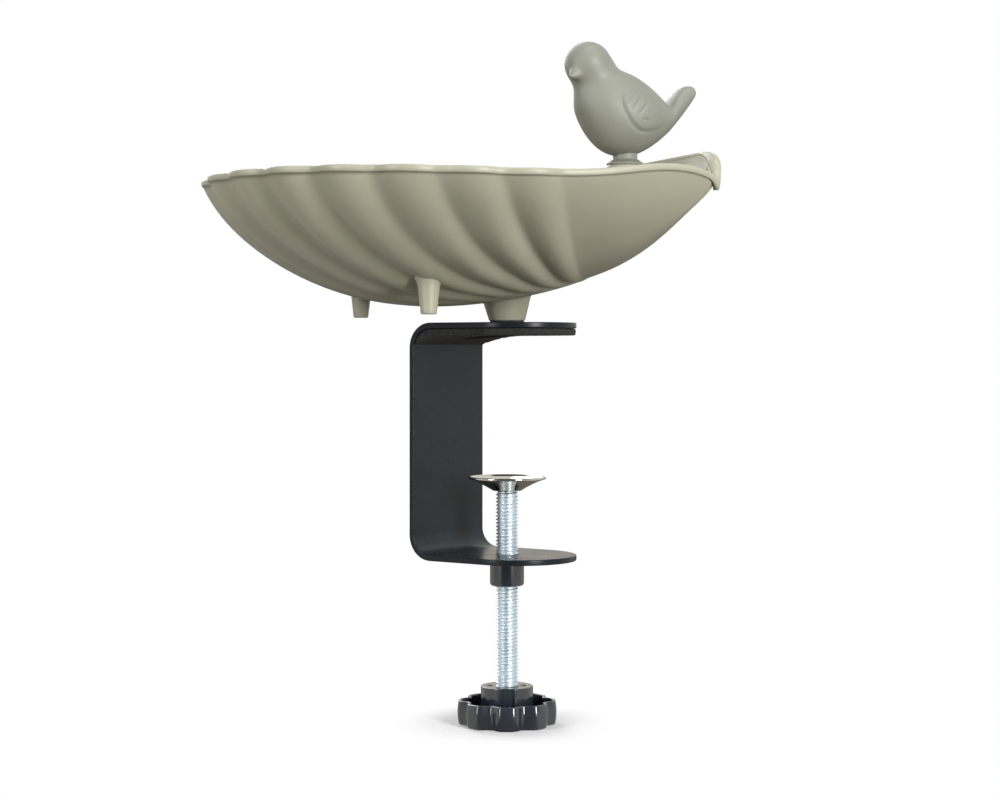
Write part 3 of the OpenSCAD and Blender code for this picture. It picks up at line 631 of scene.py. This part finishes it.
def bird_seat():
    """The round seat and the neck, turned, with a fillet up into the belly."""
    edge, fillet, neck = SEAT_EDGE, SEAT_FILLET, NECK_D / 2
    profile = [(AXIS_R, 0)] + [(SEAT_D / 2 - edge + x, edge + z) for x, z in arc(edge, -90, 90, 10)]
    profile += [(neck + fillet + x, SEAT_T + fillet + z) for x, z in arc(fillet, 270, 180, 7)]
    profile += [(neck, SEAT_T + 1.6), (neck + 0.1, 4.4), (neck + 0.7, 5.6), (AXIS_R, 6.4)]
    points = bird_to_frame(spun(profile, SEAT_COLUMNS))
    return mesh_object("bird_seat", points, capped_faces(len(profile), SEAT_COLUMNS), "dish")


bird = [bird_body(), bird_seat()]
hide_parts("bird_figure")


# Clamp: bracket and small hardware keep their CAD solids with rounded edges

round_edges("clamp_bracket", 0.35)
round_edges("screw_bush", 0.2, angle=50)
for small in ("bird_fixing_stud", "dish_fixing_screw", "dish_screw_washer", "dish_seat_washer"):
    round_edges(small, 0.12, segments=2)


# Star knob: a moulded cup with soft lobes, and a hub with a slot and two core holes

KNOB_R, KNOB_H, KNOB_FLOOR, KNOB_WALL, KNOB_TURN = 17.5, 8.5, 1.8, 1.5, -55.0
KNOB_FOOT, KNOB_LIP, KNOB_FILLET, KNOB_CROWN = 0.9, 0.5, 0.6, 0.5
LOBES, LOBE_DEPTH, LOBE_SPREAD, LOBE_COLUMNS = 8, 2.4, 16.0, 40
HUB_R, HUB_H, HUB_SLOT, SLOT_IN, HUB_EDGE = 9.2, 13.5, 5.0, 7.8, 0.4
BORE_R, CORE_R, CORE_AT, CORE_LOW = 4.1, 1.2, 5.9, 9.1
KNOB_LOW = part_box("star_knob")[0].z / MM


def knob_cup():
    """The lobed wall with its crowned outside, rounded lip and floor."""
    columns = LOBES * LOBE_COLUMNS
    turn = np.linspace(0, 360, columns, endpoint=False)
    place = turn * LOBES / 360 - 0.5
    off = np.abs(place - np.round(place)) * 360 / LOBES
    wall = KNOB_R - LOBE_DEPTH * np.where(off < LOBE_SPREAD, 0.5 + 0.5 * cosd(180 * off / LOBE_SPREAD), 0)
    inner, even = wall - KNOB_WALL, np.ones(columns)
    top = KNOB_H - KNOB_LIP

    def crowned(z):
        return wall - KNOB_CROWN * (2 * z / KNOB_H - 1) ** 2

    rings = [(even * AXIS_R, 0.0)]
    rings += [(crowned(KNOB_FOOT) - KNOB_FOOT + x, KNOB_FOOT + z) for x, z in arc(KNOB_FOOT, -90, 0, 7)]
    rings += [(crowned(z), z) for z in np.linspace(KNOB_FOOT, top, 12)[1:-1]]
    rings += [(crowned(top) - KNOB_LIP + x, top + z) for x, z in arc(KNOB_LIP, 0, 90, 6)]
    rings += [(inner + KNOB_LIP + x, top + z) for x, z in arc(KNOB_LIP, 90, 180, 6)]
    rings += [(inner - KNOB_FILLET + x, KNOB_FLOOR + KNOB_FILLET + z) for x, z in arc(KNOB_FILLET, 0, -90, 6)]
    rings += [(even * (HUB_R - 1), KNOB_FLOOR), (even * AXIS_R, KNOB_FLOOR)]
    points = [(r * math.cos(t), r * math.sin(t), KNOB_LOW + z)
              for radius, z in rings for r, t in zip(radius, np.radians(turn + KNOB_TURN))]
    return mesh_object("knob_cup", points, capped_faces(len(rings), columns), "screw")


def prism(outlines, low, high):
    """Points and faces of upright prisms over flat outlines."""
    points, faces = [], []
    for outline in outlines:
        n, first = len(outline), len(points)
        points += [(x, y, low) for x, y in outline] + [(x, y, high) for x, y in outline]
        faces.append(tuple(first + i for i in range(n - 1, -1, -1)))
        faces.append(tuple(first + n + i for i in range(n)))
        faces += [(first + i, first + (i + 1) % n, first + n + (i + 1) % n, first + n + i) for i in range(n)]
    return points, faces


def circle(x, y, r, n=48):
    return [(x + r * math.cos(t), y + r * math.sin(t)) for t in spin(n)]


def turned(outline):
    """A flat outline turned with the knob."""
    c, s = math.cos(math.radians(KNOB_TURN)), math.sin(math.radians(KNOB_TURN))
    return [(x * c - y * s, x * s + y * c) for x, y in outline]


def knob_hub():
    """A block with a slot down its side, cut by the screw's bore and two core holes."""
    half = HUB_SLOT / 2
    gap = math.degrees(math.asin(half / HUB_R))
    rim = [(HUB_R * math.cos(t), HUB_R * math.sin(t)) for t in np.radians(np.linspace(gap, 360 - gap, 120))]
    outline = turned(rim + [(SLOT_IN, -half), (SLOT_IN, half)])
    foot, top = KNOB_LOW + KNOB_FLOOR, KNOB_LOW + HUB_H
    cores = [turned(circle(0, side_way * CORE_AT, CORE_R, 32)) for side_way in (-1, 1)]
    hub = loose("hub_block", *prism([outline], foot - 0.2, top))
    cutters = [loose("hub_bore", *prism([circle(0, 0, BORE_R)], foot - 1, top + 1)),
               loose("hub_cores", *prism(cores, KNOB_LOW + CORE_LOW, top + 1))]
    for cutter in cutters:
        cut = hub.modifiers.new("Cut", "BOOLEAN")
        cut.operation, cut.solver, cut.object = "DIFFERENCE", "EXACT", cutter
    mesh = applied(hub)
    for piece in [hub] + cutters:
        bpy.data.objects.remove(piece)
    mesh.name = "knob_hub"
    mesh.shade_smooth()
    made = bpy.data.objects.new("knob_hub", mesh)
    scene.collection.objects.link(made)
    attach(made, "screw")
    bevelled(made, HUB_EDGE, angle=40)
    return made


knob = [knob_cup(), knob_hub()]
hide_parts("star_knob")


# Foam pad, cut by hand, with a ragged edge

STRIP_W, PAD_T, PAD_INSET, PAD_SAG, PAD_FLAT = 42.0, 2.5, 0.4, 3.2, 5.8
THROAT, TIP_OFFSET, BEND_R = 25.4, 4.2, 6.8


def ragged(place, seed):
    """A small repeatable unevenness along an edge, in millimetres."""
    rng = np.random.default_rng(seed)
    waves = rng.uniform(0.35, 4.5, 26)
    turns = rng.uniform(0, 2 * math.pi, 26)
    return sum(np.sin(w * place + t) / (1 + w) for w, t in zip(waves, turns)) * 0.16


def pad_outline():
    """The plan of the pad: along one side, round the tip and back along the other."""
    half = STRIP_W / 2 - PAD_INSET
    start = -THROAT + 0.2
    straight = np.linspace(start, TIP_OFFSET, 90)
    tip = np.radians(np.linspace(-90, 90, 150))[1:-1]
    xs = np.concatenate([straight, TIP_OFFSET + half * np.cos(tip), straight[::-1]])
    ys = np.concatenate([np.full(90, -half), half * np.sin(tip), np.full(90, half)])
    end = np.linspace(half, -half, 60)[1:-1]
    return np.concatenate([xs, np.full(58, start)]), np.concatenate([ys, end])


def clamp_pad():
    """Rings from the middle of the top, down the ragged edge and in again under the pad."""
    xs, ys = pad_outline()
    along = np.cumsum(np.hypot(np.diff(xs, prepend=xs[0]), np.diff(ys, prepend=ys[0])))
    radius = ((THROAT - PAD_FLAT) ** 2 + PAD_SAG ** 2) / (2 * PAD_SAG)
    spine = np.clip(xs, -THROAT + 6, TIP_OFFSET)

    def low_z(x):
        back = np.maximum(0, -PAD_FLAT - x)
        return -(radius - np.sqrt(radius ** 2 - back ** 2))

    def top_z(x):
        back = np.clip(-THROAT + BEND_R - x, 0, BEND_R - 0.12)
        return PAD_T - 0.1 - (BEND_R - np.sqrt((BEND_R - 0.1) ** 2 - back ** 2) - 0.1)

    rings = []
    for share in (0.96, 0.6, 0.3, 0.08, 0.02):
        x, y = xs + (spine - xs) * share, ys * (1 - share)
        rings.append(np.stack([x, y, top_z(x) - 0.02], -1))
    for k, (depth, out) in enumerate(((0.12, 0.0), (0.4, -0.1), (0.65, 0.05), (0.88, -0.12))):
        rough = out + ragged(along, 11 + k) - 0.12
        x = xs + rough * np.where(xs > TIP_OFFSET, (xs - TIP_OFFSET) / (STRIP_W / 2), 0)
        y = ys + rough * np.sign(ys) * np.clip(np.abs(ys) / (STRIP_W / 2), 0, 1)
        rings.append(np.stack([x, y, top_z(x) * (1 - depth) + low_z(x) * depth], -1))
    for share in (0.015, 0.05, 0.1, 0.25, 0.45, 0.7, 0.96):
        x, y = xs + (spine - xs) * share, ys * (1 - share)
        rough = ragged(along, 31) * 0.5 * math.exp(-share / 0.06)
        rings.append(np.stack([x, y, low_z(x) + np.abs(rough)], -1))
    faces = flipped(capped_faces(len(rings), len(xs)))
    return mesh_object("foam_pad", np.concatenate(rings), faces, "clamp")


pad = clamp_pad()
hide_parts("clamp_pad")


# Clamp screw with its real helical thread

THREAD_D, PITCH, THREAD_DEPTH, THREAD_CREST, THREAD_FLANK = 8.0, 1.25, 0.74, 0.12, 0.66
THREAD_COLUMNS, PITCH_STEPS, RUN_OUT, RUN_DEPTH = 64, 12, 0.9, 0.8
SCREW_IN = 3.0
DISC_LOW, DISC_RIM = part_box("swivel_disc")[0].z / MM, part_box("swivel_disc")[1].z / MM
HUB_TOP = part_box("star_knob")[1].z / MM
STUB_D, PEEN_D, PEEN_T, PEEN_EDGE = 5.4, 7.6, 1.3, 0.25
DISC_T, DISC_FLOAT = 0.9, 0.3


def thread_radius(phase):
    """Radius of a rounded sixty-degree thread at a share of its pitch."""
    f = np.abs((phase % 1) - 0.5) * 2
    return THREAD_D / 2 - THREAD_DEPTH * np.clip((f - THREAD_CREST) / THREAD_FLANK, 0, 1)


def clamp_screw():
    """The thread from inside the hub up to the disc, and the peened stub that holds the disc."""
    low, high = HUB_TOP - SCREW_IN, DISC_LOW - DISC_FLOAT / 2
    levels = np.linspace(low, high, int((high - low) / PITCH * PITCH_STEPS) + 1)
    turns = spin(THREAD_COLUMNS)
    stem = [(AXIS_R, low), (THREAD_D / 2 - THREAD_DEPTH - 0.1, low)]
    points = spun(stem, THREAD_COLUMNS)
    for z in levels:
        r = thread_radius(z / PITCH - turns / (2 * math.pi))
        r = np.minimum(r, THREAD_D / 2 - RUN_DEPTH + RUN_DEPTH * min(1.0, (high - z) / RUN_OUT))
        points += [(a * math.cos(t), a * math.sin(t), z) for a, t in zip(r, turns)]
    seat, peen = DISC_LOW + DISC_T + DISC_FLOAT / 2, PEEN_D / 2
    dome = [(STUB_D / 2, high), (STUB_D / 2, seat), (peen - 0.2, seat), (peen, seat + PEEN_EDGE)]
    dome += [(peen * math.cos(a), seat + PEEN_EDGE + (PEEN_T - PEEN_EDGE) * math.sin(a) ** 0.8)
             for a in np.linspace(0.25, 1.2, 6)]
    dome += [(1.2, seat + PEEN_T - 0.12), (0.8, seat + PEEN_T - 0.4), (AXIS_R, seat + PEEN_T - 0.5)]
    points += spun(dome, THREAD_COLUMNS)
    rings = len(stem) + len(levels) + len(dome)
    return mesh_object("screw_thread", points, capped_faces(rings, THREAD_COLUMNS), "screw")


screw = clamp_screw()
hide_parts("clamp_screw")


# Swivel disc, a pressed cup with a rolled rim

DISC_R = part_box("swivel_disc")[1].x / MM
DISC_FLAT, DISC_ROLL, DISC_BOW = 5.0, 0.5, 0.32


def swivel_disc():
    """Outer cone from the bore to the rim, a rolled edge, and the inner cone back to the bore."""
    bore = STUB_D / 2 + 0.1
    rise = DISC_RIM - DISC_LOW
    outer, inner = [], []
    for q in np.linspace(0, 1, 14):
        r = DISC_FLAT + (DISC_R - DISC_ROLL - DISC_FLAT) * q
        z = (rise - 2 * DISC_ROLL) * ((1 + DISC_BOW) * q - DISC_BOW * q ** 2)
        thin = (rise - DISC_T - 0.35) / (rise - 2 * DISC_ROLL)
        outer.append((r, DISC_LOW + z))
        inner.append((r - 0.45 * (1 - q), DISC_LOW + DISC_T + z * thin))
    profile = [(bore, DISC_LOW), (DISC_FLAT - 0.6, DISC_LOW)] + outer
    profile += [(DISC_R - DISC_ROLL + x, DISC_RIM - DISC_ROLL + z) for x, z in arc(DISC_ROLL, -75, 120, 10)]
    profile += inner[::-1][1:] + [(DISC_FLAT - 1.1, DISC_LOW + DISC_T), (bore, DISC_LOW + DISC_T)]
    return revolve("disc_cup", profile, "disc")


disc = swivel_disc()
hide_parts("swivel_disc")


# Materials

def material(name, colour, metallic=0.0):
    """A new principled material, its node tree and its shader."""
    made = bpy.data.materials.new(name)
    made.use_nodes = True
    shader = made.node_tree.nodes["Principled BSDF"]
    shader.inputs["Base Color"].default_value = (*colour, 1)
    shader.inputs["Metallic"].default_value = metallic
    return made, made.node_tree, shader


def node(tree, kind, **values):
    """A new node, with values for its sockets by name, or else for its properties."""
    made = tree.nodes.new(kind)
    for key, value in values.items():
        if key in made.inputs:
            made.inputs[key].default_value = value
        else:
            setattr(made, key, value)
    return made


def noise(tree, scale, detail=3.0, rough=0.55):
    """Noise in object space, so that it stays on the surface."""
    place = node(tree, "ShaderNodeTexCoord")
    made = node(tree, "ShaderNodeTexNoise", Scale=scale, Detail=detail, Roughness=rough)
    tree.links.new(place.outputs["Object"], made.inputs["Vector"])
    return made.outputs["Fac"]


def ramp(tree, value, stops):
    """A colour ramp from two (position, colour) stops."""
    made = node(tree, "ShaderNodeValToRGB")
    for element, (place, colour) in zip(made.color_ramp.elements, stops):
        element.position = place
        element.color = (*colour, 1)
    tree.links.new(value, made.inputs["Fac"])
    return made.outputs["Color"]


def ranged(tree, value, start, stop, low=0.0, high=1.0, kind="SMOOTHSTEP"):
    """A value taken from one range to another, by a smooth step unless told otherwise."""
    made = node(tree, "ShaderNodeMapRange", interpolation_type=kind)
    for key, number in (("From Min", start), ("From Max", stop), ("To Min", low), ("To Max", high)):
        made.inputs[key].default_value = number
    tree.links.new(value, made.inputs["Value"])
    return made.outputs["Result"]


def bumps(tree, shader, layers):
    """Stacks bump layers of (height, strength, distance)."""
    last = None
    for height, strength, distance in layers:
        made = node(tree, "ShaderNodeBump", Strength=strength, Distance=distance)
        tree.links.new(height, made.inputs["Height"])
        if last:
            tree.links.new(last, made.inputs["Normal"])
        last = made.outputs["Normal"]
    tree.links.new(last, shader.inputs["Normal"])


def tinted(colour, factor):
    return tuple(min(1.0, c * factor) for c in colour)


def drift(tree, shader, colour, clouds, tones, grain, rough):
    """Lets colour and roughness drift a little from place to place."""
    stops = [(place, tinted(colour, factor)) for place, factor in tones]
    tree.links.new(ramp(tree, noise(tree, *clouds), stops), shader.inputs["Base Color"])
    roughness = ranged(tree, noise(tree, grain), 0.3, 0.7, *rough, kind="LINEAR")
    shader.inputs["Roughness"].default_value = rough[0]
    tree.links.new(roughness, shader.inputs["Roughness"])


def cast_paint(name, colour, *rough):
    """Satin paint over a sand casting: soft cloudiness, fine orange peel and a broken sheen."""
    made, tree, shader = material(name, colour)
    drift(tree, shader, colour, (38, 4), ((0.3, 0.95), (0.7, 1.05)), 120, rough)
    bumps(tree, shader, [(noise(tree, 60, 2), 0.25, 0.0012), (noise(tree, 900, 2), 0.12, 0.0002)])
    return made


def coat_paint(name, colour, *rough, sheen=0.5):
    """Sprayed paint on sheet steel, nearly even, with fine specks."""
    made, tree, shader = material(name, colour)
    shader.inputs["Specular IOR Level"].default_value = sheen
    drift(tree, shader, colour, (260, 5), ((0.3, 0.85), (0.75, 1.2)), 90, rough)
    bumps(tree, shader, [(noise(tree, 1100, 2), 0.1, 0.00015)])
    return made


def plated(name, colour, *rough):
    """Bright plating with a faintly uneven polish."""
    made, tree, shader = material(name, colour, 1.0)
    drift(tree, shader, colour, (70, 3), ((0.3, 0.96), (0.7, 1.03)), 110, rough)
    return made


dish_paint = cast_paint("dish_paint", (0.33, 0.323, 0.24), 0.34, 0.46)
bird_paint = cast_paint("bird_paint", (0.2, 0.206, 0.172), 0.48, 0.6)
bracket_paint = coat_paint("bracket_paint", (0.0075, 0.0115, 0.0155), 0.24, 0.32, sheen=0.2)
bush_paint = coat_paint("bush_paint", (0.013, 0.017, 0.025), 0.1, 0.14, sheen=0.9)
knob_plastic = coat_paint("knob_plastic", (0.015, 0.02, 0.028), 0.13, 0.18, sheen=0.9)
zinc = plated("zinc", (0.68, 0.76, 0.8), 0.44, 0.48)
nickel = plated("nickel", (0.56, 0.53, 0.48), 0.09, 0.14)
foam = coat_paint("foam", (0.012, 0.012, 0.012), 0.85, 0.95)
fibre = coat_paint("fibre", (0.02, 0.02, 0.02), 0.7, 0.85)


def wear(pieces, made):
    """Gives pieces one material."""
    for piece in pieces:
        piece.data.materials.clear()
        piece.data.materials.append(made)


wear(cast_parts, dish_paint)
wear(bird, bird_paint)
wear(knob, knob_plastic)
wear([disc], nickel)
wear([pad], foam)
wear([nodes["clamp_bracket"]], bracket_paint)
wear([nodes["screw_bush"]], bush_paint)
wear([nodes["dish_seat_washer"]], fibre)
wear([screw] + [nodes[name] for name in ("bird_fixing_stud", "dish_fixing_screw", "dish_screw_washer")], zinc)


# Stage: white floor and background, soft studio light
# The floor goes with the screw, because the knob stands on it

FLOOR_Z, FLOOR_HALF = cad_box[0][2], 6.0
FLOOR_FADE = (0.018, 0.043)
WHITE, PALE, WARM, COOL = (1, 1, 1, 1), (0.82, 0.78, 0.72, 1), (0.95, 0.82, 0.68, 1), (0.55, 0.6, 0.66, 1)
PAPER, BOUNCE = (0.7, 0.7, 0.7, 1), (0.15, 0.138, 0.122, 1)
ROOM, DIM = 0.32, 0.3
corners = [(FLOOR_HALF * x, FLOOR_HALF * y, FLOOR_Z) for x, y in ((-1, -1), (1, -1), (1, 1), (-1, 1))]
floor_mesh = bpy.data.meshes.new("floor")
floor_mesh.from_pydata(corners, [], [(0, 1, 2, 3)])
floor = bpy.data.objects.new("floor", floor_mesh)
scene.collection.objects.link(floor)
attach(floor, "screw")
floor_look = bpy.data.materials.new("floor")
floor_look.use_nodes = True
floor_look.node_tree.nodes.clear()
floor_mesh.materials.append(floor_look)


def along(tree, vector, way):
    """How far a vector reaches along a fixed direction."""
    made = node(tree, "ShaderNodeVectorMath", operation="DOT_PRODUCT")
    tree.links.new(vector, made.inputs[0])
    made.inputs[1].default_value = way
    return made.outputs["Value"]


def mix_shader(tree, factor, first, second):
    """The first shader at a factor of 0, the second at 1."""
    made = node(tree, "ShaderNodeMixShader")
    tree.links.new(factor, made.inputs["Fac"])
    tree.links.new(first, made.inputs[1])
    tree.links.new(second, made.inputs[2])
    return made.outputs[0]


def by_ray(tree, light, shine, seen, end):
    """One shader for diffuse light, one for reflections and one for the camera, into an output node."""
    path = node(tree, "ShaderNodeLightPath")
    other = mix_shader(tree, path.outputs["Is Glossy Ray"], light, shine)
    whole = mix_shader(tree, path.outputs["Is Camera Ray"], other, seen)
    tree.links.new(whole, node(tree, end).inputs["Surface"])


def floor_shader(tree):
    """White to the camera with the object's soft shadow near it; in reflections a pale glow that is a painted
    reflection of light, bright to the sides and dim towards the camera.
    """
    def glow(colour, strength):
        return node(tree, "ShaderNodeEmission", Color=colour, Strength=strength).outputs[0]

    place = node(tree, "ShaderNodeNewGeometry").outputs["Position"]
    flat = node(tree, "ShaderNodeVectorMath", operation="MULTIPLY")
    flat.inputs[1].default_value = (1, 1, 0)
    tree.links.new(place, flat.inputs[0])
    far = node(tree, "ShaderNodeVectorMath", operation="LENGTH")
    tree.links.new(flat.outputs["Vector"], far.inputs[0])
    near = node(tree, "ShaderNodeAddShader")
    tree.links.new(node(tree, "ShaderNodeBsdfDiffuse", Color=PAPER).outputs[0], near.inputs[0])
    tree.links.new(glow(WHITE, 0.12), near.inputs[1])
    way = node(tree, "ShaderNodeVectorMath", operation="NORMALIZE")
    tree.links.new(flat.outputs["Vector"], way.inputs[0])
    off = node(tree, "ShaderNodeMath", operation="ABSOLUTE")
    tree.links.new(along(tree, way.outputs["Vector"], tuple(side)), off.inputs[0])
    light = node(tree, "ShaderNodeBsdfDiffuse", Color=BOUNCE).outputs[0]
    # Painted reflection: in reflections the floor glows pale, brighter to the sides than towards the camera
    shine = mix_shader(tree, ranged(tree, off.outputs[0], 0.45, 0.8), glow(PALE, 0.22), glow(PALE, 1.0))
    fade = ranged(tree, far.outputs["Value"], *FLOOR_FADE)
    seen = mix_shader(tree, fade, near.outputs[0], glow(WHITE, 1.0))
    by_ray(tree, light, shine, seen, "ShaderNodeOutputMaterial")


def world_shader(tree):
    """An even room for light, white to the camera and in reflections, where the camera's side is dim
    and the foot of the back wall is a little warm."""
    def glow(colour, strength):
        return node(tree, "ShaderNodeBackground", Color=colour, Strength=strength).outputs[0]

    way = node(tree, "ShaderNodeTexCoord").outputs["Generated"]
    back = along(tree, way, tuple(ahead))
    up = along(tree, way, (0, 0, 1))
    white = glow(WHITE, 1.0)
    band = node(tree, "ShaderNodeMath", operation="MULTIPLY")
    tree.links.new(ranged(tree, back, 0.6, 0.85), band.inputs[0])
    tree.links.new(ranged(tree, up, 0.3, 0.12), band.inputs[1])
    walls = mix_shader(tree, ranged(tree, back, -0.7, 0.2), glow(COOL, DIM), white)
    shine = mix_shader(tree, band.outputs[0], walls, glow(WARM, 0.9))
    by_ray(tree, glow(WHITE, ROOM), shine, white, "ShaderNodeOutputWorld")


world = bpy.data.worlds.new("studio")
scene.world = world
world.use_nodes = True
world.node_tree.nodes.clear()
floor_shader(floor_look.node_tree)
world_shader(world.node_tree)


def area_light(name, place, wide, tall, watts):
    """A soft oblong lamp that faces the origin, placed from the camera's side: right, back and up."""
    lamp = bpy.data.lights.new(name, "AREA")
    lamp.shape = "RECTANGLE"
    lamp.size, lamp.size_y = wide, tall
    lamp.energy = watts
    made = bpy.data.objects.new(name, lamp)
    scene.collection.objects.link(made)
    made.location = side * place[0] + ahead * place[1] + Vector((0, 0, place[2]))
    made.rotation_euler = (-made.location).to_track_quat("-Z", "Y").to_euler()


area_light("key", (0.74, -1.03, 0.2), 0.35, 1.0, 25)
area_light("left", (-0.95, -0.8, 0.3), 0.3, 1.2, 10)
area_light("top", (0.15, -0.3, 1.25), 0.7, 0.7, 6)
area_light("rear", (-0.5, 1.1, 0.7), 0.8, 0.8, 12)

scene.view_settings.view_transform = "Standard"
